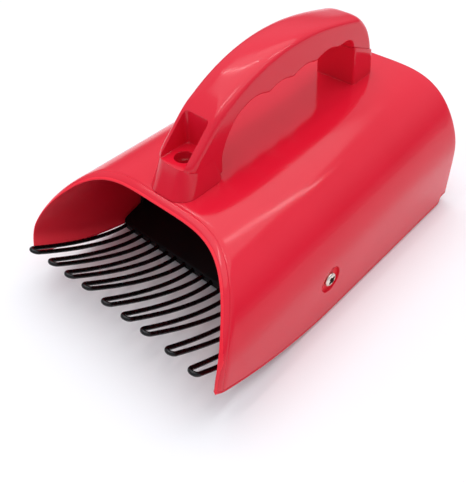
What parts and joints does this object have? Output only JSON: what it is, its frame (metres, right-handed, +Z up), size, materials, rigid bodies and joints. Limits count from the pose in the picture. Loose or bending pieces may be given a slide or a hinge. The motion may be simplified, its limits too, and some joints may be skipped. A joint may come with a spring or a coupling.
{
  "type": "berry picking rake",
  "caption": "Hand-held berry picker: an arched scoop with a loop handle and a comb of curved wire hairpins across its mouth.",
  "frame": {"origin": "middle of the overall length and width, on the plane that the scoop rests on", "axes": "+Z up from the resting face to the handle, -Y towards the teeth, X across the width"},
  "size_m": [0.1546, 0.2382, 0.1342],
  "materials": {
    "red_plastic": "glossy injection-moulded plastic",
    "black_plastic": "satin moulded plastic",
    "coated_wire": "spring wire dipped in black coating",
    "bright_steel": "bright zinc-plated steel"
  },
  "bodies": {
    "root": {"hood_shell": "red_plastic", "handle": "red_plastic", "front_handle_screw": "bright_steel", "rear_handle_screw": "bright_steel", "comb_base": "black_plastic", "comb_clamp_strip": "black_plastic", "clamp_screw_1": "bright_steel", "clamp_screw_2": "bright_steel", "clamp_screw_3": "bright_steel", "clamp_screw_4": "bright_steel", "comb_tooth_1": "coated_wire", "comb_tooth_2": "coated_wire", "comb_tooth_3": "coated_wire", "comb_tooth_4": "coated_wire", "comb_tooth_5": "coated_wire", "comb_tooth_6": "coated_wire", "comb_tooth_7": "coated_wire", "comb_tooth_8": "coated_wire", "comb_tooth_9": "coated_wire", "left_side_screw": "bright_steel", "left_side_nut": "bright_steel", "right_side_screw": "bright_steel", "right_side_nut": "bright_steel"}
  },
  "joints": []
}
